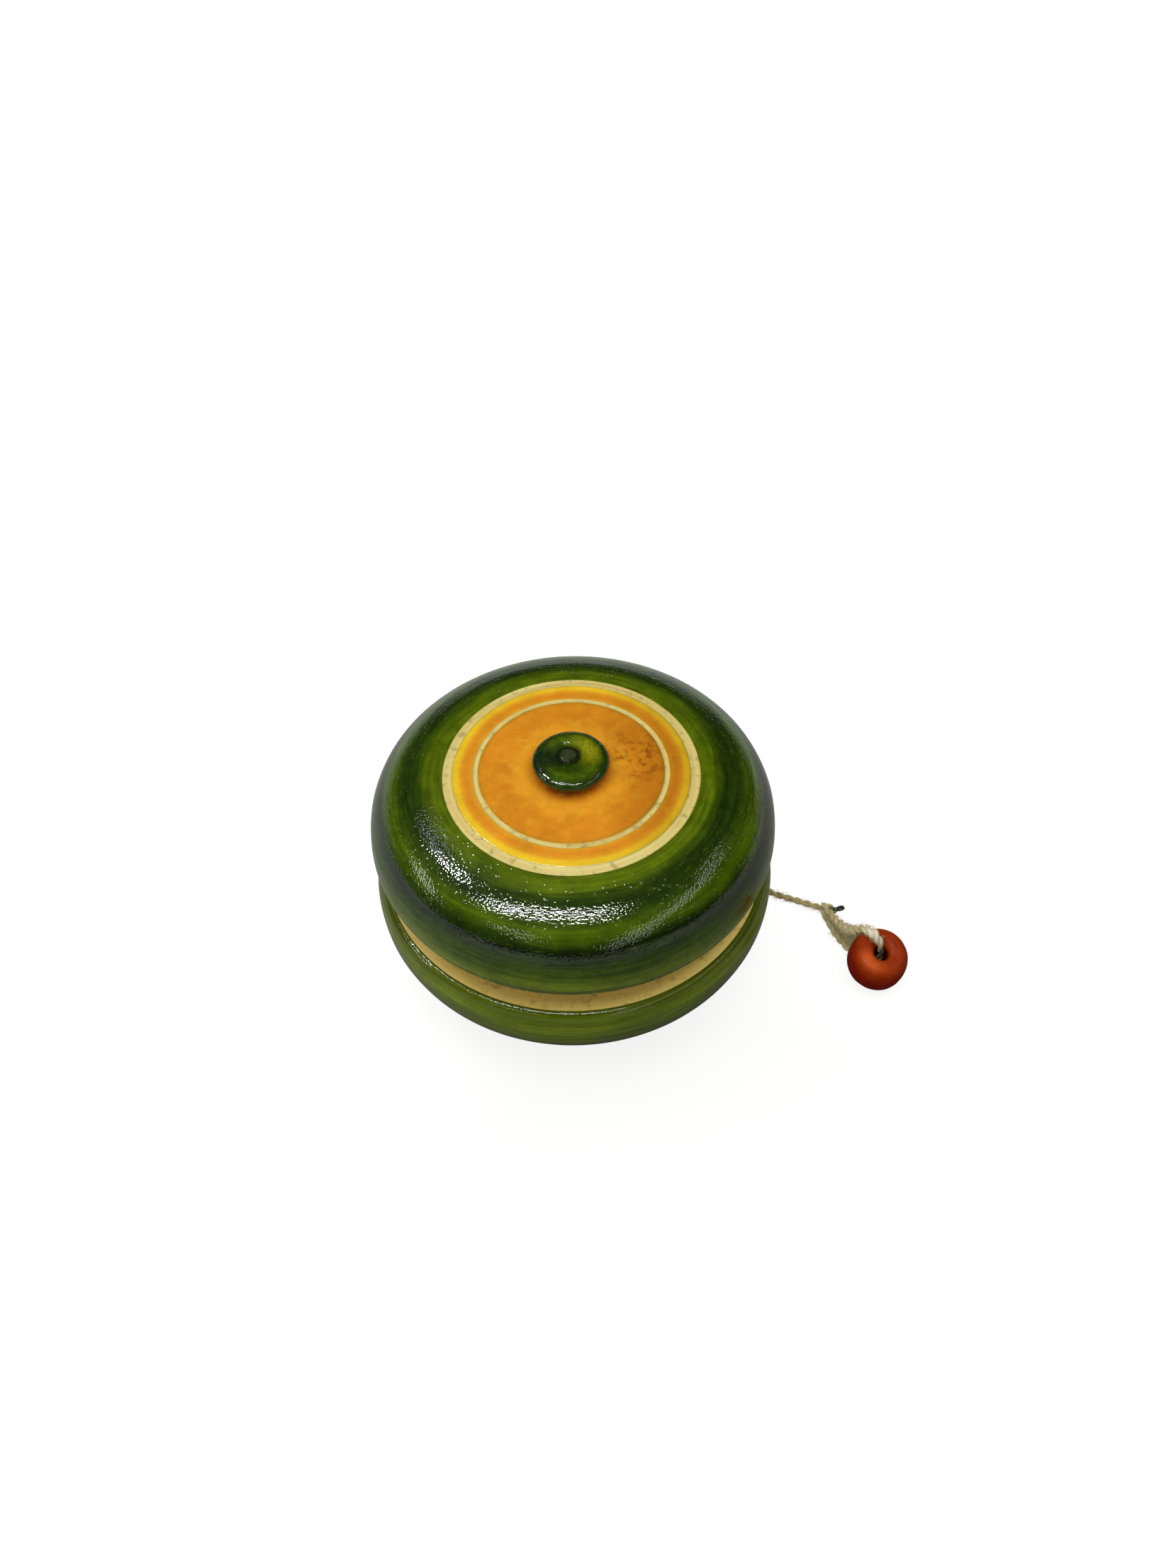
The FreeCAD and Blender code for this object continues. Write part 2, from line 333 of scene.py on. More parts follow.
def make_body_lac():
    """Green over the shoulder and rim, orange inside the wide ring, with bare-ring edges."""
    recipe = Recipe("body_lac")
    along = recipe.measure("along")
    wander = recipe.turned_noise(along, 1.1, 0.22, seed=1.0)
    streaks = recipe.turned_noise(along, 2.4, 1.9, seed=9.0, detail=5.0)
    shifted = recipe.math("ADD", along, recipe.between(wander, 0.2, 0.8, -1.3, 1.3))
    # The dark bands from about 21.8 to 23.4 and at 28.5 along are painted reflection of the dark room,
    # beside the highlights and just above the table's reflection.
    green = recipe.ramp(shifted, [
        (16.0, NIGHT), (17.9, LEAF), (18.6, LEAF), (19.8, LEAF), (20.8, MOSS), (21.8, BOTTLE),
        (23.4, BOTTLE), (24.6, MOSS), (25.6, srgb(70, 90, 8)), (26.7, srgb(62, 82, 7)),
        (27.6, BOTTLE), (28.5, NIGHT),
        (30.0, BOTTLE), (32.0, MOSS), (33.6, LEAF), (34.8, LIME), (35.8, LEAF), (36.5, BOTTLE),
        (37.6, BOTTLE), (40.0, LEAF),
    ])
    streaked = recipe.between(streaks, 0.35, 0.66)
    deep = recipe.blend(streaked, (0.58, 0.6, 0.5), (1.08, 1.08, 0.9))
    green = recipe.blend(1.0, green, deep, "MULTIPLY")
    cloud = recipe.between(recipe.noise(recipe.place(), 420, 5, 0.65), 0.32, 0.68)
    cloudy = recipe.blend(cloud, (0.7, 0.72, 0.7), (1.2, 1.18, 1.1))
    green = recipe.blend(1.0, green, cloudy, "MULTIPLY")
    flecks = recipe.between(recipe.turned_noise(along, 14.0, 4.0, seed=2.0), 0.6, 0.78, 0.0, 0.3)
    green = recipe.blend(flecks, green, LIME)
    # Under the button's head, to 4.7 along, the orange is redder and darker: painted shade.
    inner = recipe.ramp(along, [
        (0.0, srgb(206, 106, 20)), (4.7, srgb(206, 106, 20)), (5.5, ORANGE), (6.4, AMBER),
        (7.6, AMBER), (9.0, ORANGE),
        (12.3, ORANGE), (12.7, srgb(176, 122, 26)), (12.9, RING_EDGE), (13.5, RING_EDGE),
        (13.75, AMBER),
        (14.4, ORANGE), (15.1, AMBER), (15.7, YELLOW), (16.25, YELLOW), (16.4, srgb(176, 160, 50)),
        (17.0, srgb(176, 160, 50)),
    ])
    mottle = recipe.noise(recipe.place(), 330, 5, 0.62)
    tone = recipe.blend(recipe.between(mottle, 0.3, 0.7), (0.86, 0.82, 0.8), (1.1, 1.1, 1.15))
    inner = recipe.blend(1.0, inner, tone, "MULTIPLY")
    veins = recipe.between(recipe.noise(recipe.place(), 620, 5, 0.7), 0.5, 0.64, 0.0, 0.5)
    veins = recipe.math("MULTIPLY", veins, recipe.between(along, 8.0, 12.0, 1.0, 0.35))
    inner = recipe.blend(veins, inner, srgb(216, 160, 42))
    inner = recipe.blend(worn_patch(recipe), inner, RUST)
    # Browner towards +X: painted shade on the side away from the light.
    inner = recipe.blend(1.0, inner, painted_shade_right_side(recipe), "MULTIPLY")
    height = recipe.step("SeparateXYZ", recipe.place(), out=2)
    below = recipe.between(height, GAP_MID - MM, GAP_MID, 0.45, 0.0)
    green = recipe.blend(below, green, recipe.blend(1.0, LIME, deep, "MULTIPLY"))
    inside = recipe.math("LESS_THAN", along, WIDE_RING[0] + RING_WALL)
    recipe.put(Base_Color=recipe.blend(inside, green, inner))
    lac_finish(recipe, along, gloss=recipe.between(along, 36.5, 39.0, 0.85, 0.08))
    return recipe.material


def painted_shade_right_side(recipe):
    """A tint, 1 on most of the face and browner towards +X: painted shade on the side away from the
    light.
    """
    side = recipe.step("SeparateXYZ", recipe.place(), out=0)
    return recipe.blend(recipe.between(side, 0.004, 0.012), (1, 1, 1), (0.76, 0.72, 0.66))


def worn_patch(recipe):
    """Brown specks where fingers have rubbed the orange, on the +X side of the button."""
    spot = recipe.place()
    from_patch = recipe.distance(spot, (*RUBBED_AT, GAP_MID + CROWN_HEIGHT * MM))
    near_patch = recipe.between(from_patch, 0.001, 0.0062, 1.0, 0.0)
    specks = recipe.between(recipe.noise(spot, 900, 4, 0.65), 0.48, 0.62)
    return recipe.math("MULTIPLY", recipe.math("MULTIPLY", near_patch, specks), 0.85)


def make_bare_wood(name, light, dark, across):
    """Turned bare wood: rings of tool marks and short dark pores."""
    recipe = Recipe(name)
    along = recipe.measure("along")
    rings = recipe.turned_noise(along, 1.2, across, seed=3.0, detail=4.0)
    grain = recipe.noise(recipe.place(), 700, 4, 0.6)
    colour = recipe.blend(recipe.between(rings, 0.3, 0.7), dark, light)
    pores = recipe.between(grain, 0.54, 0.66, 0.0, 0.5)
    colour = recipe.blend(pores, colour, tuple(c * 0.35 for c in dark))
    recipe.put(Base_Color=colour, Roughness=0.62, Specular_IOR_Level=0.3)
    relief = recipe.bump(rings, 0.00006, 0.6)
    recipe.put(Normal=recipe.bump(grain, 0.00004, 0.6, relief))
    return recipe.material


def make_button_lac():
    """Green lac with a lime swirl on one side, dark on the other, and a dry dark nub with painted shade
    round its foot.
    """
    recipe = Recipe("button_lac")
    spot = recipe.place()
    along = recipe.measure("along")
    swirl = recipe.turned_noise(along, 0.9, 0.5, seed=6.0)
    shifted = recipe.math("ADD", along, recipe.between(swirl, 0.2, 0.8, -0.5, 0.5))
    # The dark ring round the nub's foot, about 1.4 along, is painted shade.
    green = recipe.ramp(shifted, [
        (0.0, BUTTON_NUB_TOP), (0.7, BUTTON_NUB_TOP), (1.4, NIGHT), (2.0, BOTTLE), (2.8, MOSS),
        (3.6, srgb(74, 92, 10)), (4.2, MOSS), (4.8, BOTTLE), (6.0, BOTTLE), (9.0, MOSS),
    ])
    past_nub = recipe.between(along, 1.6, 2.6)
    before_rim = recipe.between(along, 3.8, 4.6, 1.0, 0.0)
    ring = recipe.math("MULTIPLY", past_nub, before_rim)
    top = GAP_MID + BUTTON_TOP * MM
    lit = recipe.between(recipe.distance(spot, (0.0022, 0.0014, top)), 0.0012, 0.0034)
    lit = recipe.math("MULTIPLY", ring, recipe.math("SUBTRACT", 1.0, lit))
    green = recipe.blend(lit, green, srgb(124, 126, 10))
    shade = recipe.between(recipe.distance(spot, (-0.0036, 0.0, top)), 0.0009, 0.0031, 0.85, 0.0)
    green = recipe.blend(shade, green, srgb(14, 30, 20))
    streaks = recipe.turned_noise(along, 3.0, 2.2, seed=11.0, detail=5.0)
    tone = recipe.blend(recipe.between(streaks, 0.3, 0.7), (0.55, 0.6, 0.55), (1.2, 1.15, 1.1))
    green = recipe.blend(1.0, green, tone, "MULTIPLY")
    mottle = recipe.between(recipe.noise(spot, 2200, 4, 0.7), 0.35, 0.65)
    tone = recipe.blend(mottle, (0.7, 0.72, 0.7), (1.2, 1.2, 1.2))
    recipe.put(Base_Color=recipe.blend(1.0, green, tone, "MULTIPLY"))
    lac_finish(recipe, along, gloss=recipe.between(along, 2.2, 3.8, 0.15, 0.85))
    return recipe.material


def make_bead_lac():
    """Orange-red lac, darker and redder down the sides, with faint lathe rings and a paler spot by the
    upper mouth that is partly wear and partly a painted highlight.
    """
    recipe = Recipe("bead_lac")
    spot = recipe.place()
    along = recipe.measure("along")
    height = recipe.step("SeparateXYZ", spot, out=2)
    rings = recipe.turned_noise(along, 1.3, 2.0, seed=5.0, detail=4.0)
    share = recipe.between(height, -0.0022, 0.0026)
    share = recipe.math("ADD", share, recipe.between(rings, 0.3, 0.7, -0.16, 0.16))
    colour = recipe.ramp(share, [
        (0.0, srgb(92, 9, 2)), (0.45, srgb(112, 17, 3)), (0.75, srgb(124, 30, 4)),
        (1.0, srgb(136, 46, 9)),
    ])
    # A paler spot on the mouth's crest: partly rubbed wear, partly a painted highlight.
    rubbed = recipe.between(recipe.distance(spot, BEAD_WEAR_AND_HIGHLIGHT), 0.0008, 0.0026, 0.7, 0.0)
    crest = recipe.between(height, 0.0024, 0.0030)
    colour = recipe.blend(recipe.math("MULTIPLY", rubbed, crest), colour, srgb(194, 88, 32))
    cloud = recipe.noise(spot, 420, 3)
    tone = recipe.blend(recipe.between(cloud, 0.3, 0.7), (0.85, 0.8, 0.8), (1.1, 1.1, 1.1))
    recipe.put(Base_Color=recipe.blend(1.0, colour, tone, "MULTIPLY"))
    recipe.put(
        Roughness=0.5, Coat_Weight=0.06, Coat_Roughness=0.2, Coat_IOR=1.45,
        Specular_IOR_Level=0.02,
    )
    relief = recipe.bump(rings, 0.00005, 0.5)
    recipe.put(Normal=recipe.bump(recipe.noise(spot, 1500, 3), 0.00003, 0.5, relief))
    return recipe.material


def make_string_fibre(name, pale, dull, dirt):
    """Loosely spun cotton: fibres running round each ply, dull in the hollows, bleached by wear,
    painted paler where frayed and painted darker in the bead's bore.
    """
    recipe = Recipe(name)
    along = recipe.measure("along")
    around = recipe.measure("around")
    worn = recipe.measure("worn")
    sweep = recipe.math("MULTIPLY_ADD", along, 1.4, around)
    turn = recipe.math("MULTIPLY", sweep, 2 * math.pi)
    fibre_place = recipe.join(
        recipe.math("MULTIPLY", recipe.math("COSINE", turn), 1.6),
        recipe.math("MULTIPLY", recipe.math("SINE", turn), 1.6),
        recipe.math("MULTIPLY", along, 0.5),
    )
    fibres = recipe.noise(fibre_place, 3.0, 4, 0.6)
    colour = recipe.blend(recipe.between(fibres, 0.3, 0.68), dull, pale)
    patches = recipe.noise(recipe.place(), 420, 3)
    colour = recipe.blend(recipe.between(patches, 0.45, 0.7, 0.0, 0.6), colour, dirt)
    # Paler where bleached by wear over the bead, and where frayed as painted light.
    colour = recipe.blend(worn, colour, srgb(230, 224, 202))
    # Darker where the string sinks into the bead's bore: painted shade.
    colour = recipe.blend(recipe.measure("sunk"), colour, SHADED_STRING)
    recipe.put(Base_Color=colour, Roughness=0.9, Specular_IOR_Level=0.1, Sheen_Weight=0.25)
    recipe.put(Normal=recipe.bump(fibres, 0.00012, 0.9))
    return recipe.material


def make_dipped_string():
    """The sealed end of the string: dark green wax, with a painted highlight along its top."""
    recipe = Recipe("dipped_string")
    spot = recipe.place()
    mottle = recipe.noise(spot, 1300, 3)
    height = recipe.step("SeparateXYZ", spot, out=2)
    # Paler along the top: a painted highlight.
    top = recipe.between(height, TAIL_ROUTE[1][2] + 0.0002, TAIL_ROUTE[-1][2] + 0.0002)
    share = recipe.math("MULTIPLY", top, recipe.between(mottle, 0.45, 0.65, 0.0, 0.8))
    recipe.put(Base_Color=recipe.blend(share, srgb(14, 32, 18), srgb(176, 184, 170)))
    recipe.put(Roughness=0.45, Specular_IOR_Level=0.4, Normal=recipe.bump(mottle, 0.00008, 0.7))
    return recipe.material


# ------------------------------------------------------------------ turned meshes

def bezier(*poles, count=300):
    t = np.linspace(0, 1, count)[:, None]
    a, b, c, d = [np.array(pole, float) for pole in poles]
    return (1 - t) ** 3 * a + 3 * (1 - t) ** 2 * t * b + 3 * (1 - t) * t * t * c + t ** 3 * d


def distances(points):
    steps = np.linalg.norm(np.diff(points, axis=0), axis=1)
    return np.concatenate([[0], np.cumsum(steps)])


def stations(points, at):
    """The outline's points at those distances along it."""
    along = distances(points)
    return np.stack([np.interp(at, along, points[:, k]) for k in (0, 1)], axis=1)


def evenly(points, step):
    """The outline again, with points about that step apart."""
    length = distances(points)[-1]
    return stations(points, np.linspace(0, length, max(2, round(length / step) + 1)))


def smooth_step(value):
    share = np.clip(value, 0, 1)
    return share * share * (3 - 2 * share)


def outward(outline, closed):
    """Unit normals of an outline that runs from the top outwards and down."""
    if closed:
        ahead = np.roll(outline, -1, axis=0) - np.roll(outline, 1, axis=0)
    else:
        ahead = np.gradient(outline, axis=0)
    normal = np.stack([-ahead[:, 1], ahead[:, 0]], axis=1)
    return normal / np.linalg.norm(normal, axis=1)[:, None]


def turned_mesh(name, outline, along, bands, segments, closed):
    """A mesh turned about Z from an outline in metres.

    along is what each row of points carries, and bands holds a material number for each row of
    faces.
    """
    angles = np.linspace(0, 2 * math.pi, segments, endpoint=False)
    rows = len(outline)
    pole_rows = [] if closed else [0, rows - 1]
    verts, first, carried = [], [], []
    for row, (radius, height) in enumerate(outline):
        first.append(len(verts))
        spokes = angles[:1] * 0 if row in pole_rows else angles
        reach = 0.0 if row in pole_rows else radius
        verts += [(reach * math.cos(a), reach * math.sin(a), height) for a in spokes]
        carried += [along[row]] * len(spokes)
    faces, materials = [], []
    for row in range(rows if closed else rows - 1):
        here, there = first[row], first[(row + 1) % rows]
        for k in range(segments):
            following = (k + 1) % segments
            if row in pole_rows:
                faces.append((here, there + k, there + following))
            elif (row + 1) % rows in pole_rows:
                faces.append((here + k, there, here + following))
            else:
                faces.append((here + k, there + k, there + following, here + following))
            materials.append(bands[row])
    mesh = bpy.data.meshes.new(name)
    mesh.from_pydata(verts, [], faces)
    mesh.attributes.new("along", "FLOAT", "POINT").data.foreach_set("value", carried)
    mesh.polygons.foreach_set("material_index", materials)
    return mesh


def finished(name, mesh, materials, sharp=math.radians(38)):
    """The object of a mesh, smooth except at its sharp edges."""
    for material in materials:
        mesh.materials.append(material)
    mesh.validate()
    mesh.shade_smooth()
    mesh.set_sharp_from_angle(angle=sharp)
    piece = bpy.data.objects.new(name, mesh)
    bpy.context.scene.collection.objects.link(piece)
    return piece


def flip(mesh):
    mesh.flip_normals()
    mesh.update()


def ripple(along, waves):
    turns = [(height, along / length, phase) for length, height, phase in waves]
    return sum(height * np.sin(2 * math.pi * turn + phase) for height, turn, phase in turns)


def ring_cut(along):
    """How deep the bare rings are cut at each distance along the outline."""
    depth = np.zeros_like(along)
    for inner, outer in (THIN_RING, WIDE_RING):
        depth += smooth_step((along - inner) / RING_WALL) * smooth_step((outer - along) / RING_WALL)
    return RING_DEPTH * depth


def half_outline():
    """Rows of the upper half from the button's bore out over the crown and back to it."""
    crown = bezier(
        (BODY_RADIUS, WIDEST_HEIGHT),
        (BODY_RADIUS, WIDEST_HEIGHT + SHOULDER_RISE * (CROWN_HEIGHT - WIDEST_HEIGHT)),
        (BODY_RADIUS * SHOULDER_REACH, CROWN_HEIGHT), (0, CROWN_HEIGHT), count=1500,
    )[::-1]
    rim_out = BODY_RADIUS - INNER_FACE_RADIUS
    rim_up = WIDEST_HEIGHT - GAP / 2
    rim = bezier(
        (BODY_RADIUS, WIDEST_HEIGHT), (BODY_RADIUS, WIDEST_HEIGHT - RIM_FULLNESS * rim_up),
        (INNER_FACE_RADIUS + RIM_FULLNESS * rim_out, GAP / 2), (INNER_FACE_RADIUS, GAP / 2),
    )
    outside = np.vstack([crown, rim[1:]])
    edge = distances(outside)[-1]
    at = set(np.arange(PEG_RADIUS, edge, OUTLINE_STEP)) | {edge}
    for inner, outer in (THIN_RING, WIDE_RING):
        for wall in (inner, outer - RING_WALL):
            at |= {wall + share * RING_WALL for share in (0, 0.25, 0.5, 0.75, 1)}
    at = np.array(sorted(at))
    lac = stations(outside, at)
    fade = smooth_step((at - PEG_RADIUS) / 4) * smooth_step((edge - at) / 1.5)
    lac += outward(lac, False) * (ripple(at, LAC_RIPPLES) * fade - ring_cut(at))[:, None]
    flat = np.array([(INNER_FACE_RADIUS, GAP / 2), (AXLE_RADIUS, GAP / 2)])
    face = evenly(flat, OUTLINE_STEP)[1:]
    face_at = edge + INNER_FACE_RADIUS - face[:, 0]
    from_axle = smooth_step((face[:, 0] - AXLE_RADIUS) / 2)
    from_rim = smooth_step((INNER_FACE_RADIUS - face[:, 0]) / 2)
    face[:, 1] += np.maximum(ripple(face_at, FACE_RIPPLES), 0) * (from_axle * from_rim)
    seat_top = AXLE_END + SEAT_ROOM
    bore = np.array([(AXLE_RADIUS, seat_top), (PEG_RADIUS, seat_top)])
    outline = np.vstack([lac, face, bore])
    along = np.concatenate([at, face_at, face_at[-1] + np.array([6.7, 8.2])])
    return outline, along, len(at), edge


def half_bands(along, lac_rows):
    """0 for lac, 1 for the bare rings and 2 for the flat inner face and the bores."""
    middle = (along + np.roll(along, -1)) / 2
    bands = np.where(np.arange(len(along)) < lac_rows - 1, 0, 2)
    for inner, outer in (THIN_RING, WIDE_RING):
        bands[(middle > inner) & (middle < outer) & (bands == 0)] = 1
    return bands


def swell(mesh, edge, seed):
    """Slow swells in the lac, which break up the reflections as hand-burnished lac does."""
    count = len(mesh.vertices)
    normals = np.zeros(count * 3, np.float32)
    mesh.vertices.foreach_get("normal", normals)
    along = np.zeros(count, np.float32)
    mesh.attributes["along"].data.foreach_get("value", along)
    fade = smooth_step((along - 5) / 4) * smooth_step((edge - along) / 2)
    size = LAC_SWELL_SIZE * MM
    for vertex, normal, share in zip(mesh.vertices, normals.reshape(-1, 3), fade):
        if share > 0:
            amount = noise.noise(vertex.co / size + Vector((seed, 0, 0))) * LAC_SWELL * MM * share
            vertex.co += Vector(normal) * amount


def make_half(name, side, materials):
    """One half: side is 1 for the upper one and -1 for its mirror image below."""
    outline, along, lac_rows, edge = half_outline()
    placed = outline * (MM, MM * side) + (0, GAP_MID)
    bands = half_bands(along, lac_rows)
    mesh = turned_mesh(name, placed, along, bands, HALF_SEGMENTS, closed=True)
    if side < 0:
        flip(mesh)
    swell(mesh, edge, seed=side * 7.0)
    piece = finished(name, mesh, materials)
    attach(piece, "yoyo")
    return piece


def button_outline():
    """The head and peg, from the middle of the top round to the end of the peg."""
    head = [
        bezier(*[(radius, BUTTON_TOP - depth) for radius, depth in poles])[::-1]
        for poles in (BUTTON_NUB, BUTTON_DISH, BUTTON_LIP, BUTTON_EDGE, BUTTON_UNDER)
    ]
    chamfer = PEG_END + PEG_CHAMFER
    peg = np.array([
        (PEG_RADIUS, CROWN_HEIGHT), (PEG_RADIUS, chamfer), (PEG_RADIUS - PEG_CHAMFER, PEG_END),
        (0, PEG_END),
    ])
    outline = np.vstack([evenly(np.vstack(head), BUTTON_STEP), evenly(peg, PEG_STEP)])
    return outline, distances(outline)


def make_button(name, side, material):
    outline, along = button_outline()
    placed = outline * (MM, MM * side) + (0, GAP_MID)
    mesh = turned_mesh(name, placed, along, [0] * len(along), BUTTON_SEGMENTS, closed=False)
    if side < 0:
        flip(mesh)
    for vertex in mesh.vertices:
        wobble = noise.noise(vertex.co / (BUTTON_WOBBLE_SIZE * MM) + Vector((side * 3.0, 0, 0)))
        vertex.co += Vector((0, 0, side * wobble * BUTTON_WOBBLE * MM))
        on_dish = side * (vertex.co.z - GAP_MID) > CROWN_HEIGHT * MM
        radius = math.hypot(vertex.co.x, vertex.co.y) / MM
        pull = 1 - smooth_step((radius - NUB_EDGE) / NUB_FADE)
        vertex.co += NUB_SHIFT * float(pull) * on_dish
    piece = finished(name, mesh, [material])
    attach(piece, "yoyo")
    return piece


def bead_outline():
    """The drum from the crest of its upper mouth, over the outside, and back up the bore."""
    outside = bezier(*BEAD_SIDE)
    mouth = bezier(*BEAD_MOUTH)
    bore, throat = BEAD_MOUTH[0]
    parts = (
        outside, outside[::-1] * (1, -1), mouth[::-1] * (1, -1),
        np.array([(bore, -throat), (bore, throat)]), mouth,
    )
    outline = np.vstack([evenly(part, BEAD_STEP)[:-1] for part in parts])
    return outline, distances(outline)


def make_bead(material):
    outline, along = bead_outline()
    bands = [0] * len(along)
    mesh = turned_mesh("bead_turned", outline * MM, along, bands, BEAD_SEGMENTS, closed=True)
    for vertex in mesh.vertices:
        uneven = sum(noise.noise(vertex.co / (size * MM)) * share for size, share in BEAD_UNEVEN)
        vertex.co *= 1 + uneven
    piece = finished("bead_turned", mesh, [material])
    tilt = Vector((0, 0, 1)).rotation_difference(BEAD_LEAN).to_matrix().to_4x4()
    piece.matrix_world = Matrix.Translation(BEAD_CENTRE) @ tilt
    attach(piece, "bead")
    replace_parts(piece, "bead")
    return piece


# ------------------------------------------------------------------ string

def winding_points():
    """The string on the axle: layers of turns, back and forth across the gap, then off the top."""
    dice = random.Random(4)
    inner = AXLE_RADIUS * MM + AXLE_ROOM + STRING / 2
    reach = (GAP * MM - STRING) / 2 - SIDE_ROOM
    layered = LAYERS * TURNS_PER_LAYER
    count = round((layered + CROSSING_TURNS) * POINTS_PER_TURN)
    points = []
    for k in range(count):
        turn = k / POINTS_PER_TURN
        layer = min(int(turn / TURNS_PER_LAYER), LAYERS - 1)
        share = min(turn / TURNS_PER_LAYER - layer, 1.0)
        last_half_turn = (share - 1) * TURNS_PER_LAYER / 0.5 + 1
        climb = float(smooth_step(last_half_turn)) if layer < LAYERS - 1 else 0.0
        height = reach * (1 - 2 * share) * (1 if layer % 2 == 0 else -1)
        radius = inner + STRING * (layer + climb)
        crossing = max(0.0, (turn - layered) / CROSSING_TURNS)
        if crossing > 0:
            radius += CROSSING_LIFT * math.sin(math.pi * crossing)
            height += (LEAD_ROUTE[0][2] - GAP_MID + reach) * crossing
        height += dice.uniform(-0.00005, 0.00005)
        angle = LEAVES_AT + 2 * math.pi * (count / POINTS_PER_TURN - turn)
        points.append((radius * math.cos(angle), radius * math.sin(angle), GAP_MID + height))
    return points


def read_line(points, resolution):
    """The points of the smooth NURBS curve with those control points."""
    data = bpy.data.curves.new("route", "CURVE")
    data.dimensions = "3D"
    spline = data.splines.new("NURBS")
    spline.points.add(len(points) - 1)
    for point, place in zip(spline.points, points):
        point.co = (*place, 1)
    spline.order_u = 3
    spline.use_endpoint_u = True
    spline.resolution_u = resolution
    curve = bpy.data.objects.new("route", data)
    mesh = bpy.data.meshes.new_from_object(curve)
    line = np.array([v.co for v in mesh.vertices])
    bpy.data.objects.remove(curve)
    bpy.data.curves.remove(data)
    bpy.data.meshes.remove(mesh)
    return line


def frames(line):
    """Two directions across the line at each point, carried along without twist."""
    ahead = np.gradient(line, axis=0)
    ahead /= np.linalg.norm(ahead, axis=1)[:, None]
    side = np.cross(ahead[0], (0.0, 0.3, 1.0))
    sides = []
    for direction in ahead:
        side = side - direction * side.dot(direction)
        side = side / np.linalg.norm(side)
        sides.append(side)
    sides = np.array(sides)
    return sides, np.cross(ahead, sides)


def plied_mesh(name, line, thickness, worn=0.0, sunk=0.0, plies=2, sides=9, seed=0):
    """Plies twisted round a line.

    thickness is the string's diameter in metres, worn how much paler it is (bleached by wear, and
    painted light where frayed) and sunk how deep in the bead's bore, where it gets painted shade; each
    is one number, or one for each point of the line.
    """
    thickness, worn, sunk = [np.broadcast_to(m, len(line)) for m in (thickness, worn, sunk)]
    dice = np.random.default_rng(seed)
    across, up = frames(line)
    along = distances(line)
    marks = np.arange(0, along[-1] + 0.004, LOOSE_STEP)
    loose = np.interp(along, marks, dice.uniform(1 - PLY_LOOSENESS, 1 + PLY_LOOSENESS, len(marks)))
    ring = np.linspace(0, 2 * math.pi, sides, endpoint=False)
    verts, faces = [], []
    carried = {"along": [], "around": [], "worn": [], "sunk": []}
    for ply in range(plies):
        turn = 2 * math.pi * (along / TWIST + ply / plies)
        offset = (thickness * PLY_OFFSET)[:, None]
        centre = line + offset * (np.cos(turn)[:, None] * across + np.sin(turn)[:, None] * up)
        radius = thickness * PLY_RADIUS * loose
        start = len(verts)
        for k in range(len(line)):
            spin = ring + turn[k]
            spokes = np.cos(spin)[:, None] * across[k] + np.sin(spin)[:, None] * up[k]
            rim = centre[k] + radius[k] * spokes
            verts += [tuple(p) for p in rim]
            carried["along"] += [along[k] / MM] * sides
            carried["around"] += list(np.arange(sides) / sides)
            carried["worn"] += [worn[k]] * sides
            carried["sunk"] += [sunk[k]] * sides
        for k in range(len(line) - 1):
            here, there = start + k * sides, start + (k + 1) * sides
            for j in range(sides):
                after = (j + 1) % sides
                faces.append((here + j, here + after, there + after, there + j))
        faces.append(tuple(start + j for j in reversed(range(sides))))
        last = start + (len(line) - 1) * sides
        faces.append(tuple(last + j for j in range(sides)))
    mesh = bpy.data.meshes.new(name)
    mesh.from_pydata(verts, [], faces)
    for key, values in carried.items():
        mesh.attributes.new(key, "FLOAT", "POINT").data.foreach_set("value", values)
    return mesh


def near(line, place, reach):
    """1 at a place, falling to 0 at that reach from it."""
    return 1 - smooth_step(np.linalg.norm(line - np.array(place), axis=1) / reach)


def make_string(material):
    """The whole string: on the axle, out of the gap, down to the table, and round the bead."""
    line = read_line(winding_points() + LEAD_ROUTE[1:] + LOOP_ROUTE, 10)
    over_bead = near(line, WORN_AT, WORN_REACH)
    sunk = near(line, BEAD_CENTRE + BEAD_LEAN * SUNK_HEIGHT, SUNK_REACH)
    frayed = near(line, FRAYED_AT, FRAYED_REACH)
    thickness = STRING * (1 + OVER_BEAD * over_bead + FRAYED * frayed - SQUEEZED * sunk)
    # Paler over the bead from wear, and on the frayed stretch as painted light against the shade among
    # its hairs.
    worn = np.maximum(over_bead, HAIR_PAINTED_LIGHT * frayed)
    mesh = plied_mesh("string", line, thickness, worn, sunk, seed=2)
    piece = finished("string", mesh, [material])
    return piece, line, thickness


def make_knot(material):
    """The overhand knot: one more turn of the string drawn tight round itself."""
    turns = np.linspace(0, 2 * math.pi, 90, endpoint=False)
    wrap = np.stack([
        np.sin(turns) + 2 * np.sin(2 * turns),
        np.cos(turns) - 2 * np.cos(2 * turns),
        -1.2 * np.sin(3 * turns),
    ], axis=1) * KNOT_SIZE
    lean = Vector((0, 0, 1)).rotation_difference(Vector((0.75, -0.5, 0.45)))
    centre = KNOT_CENTRE + Vector((0.0002, -0.0002, 0.0002))
    line = np.array([centre + lean @ Vector(p) for p in wrap])
    mesh = plied_mesh("knot", line, STRING * 0.9, worn=0.1, seed=5)
    return finished("knot", mesh, [material])


def make_tail(material):
    """The short cut end beside the knot."""
    line = read_line(TAIL_ROUTE, 12)
    taper = np.linspace(0.0014, 0.0007, len(line))
    mesh = plied_mesh("dipped_end", line, taper, seed=6)
    return finished("dipped_end", mesh, [material])


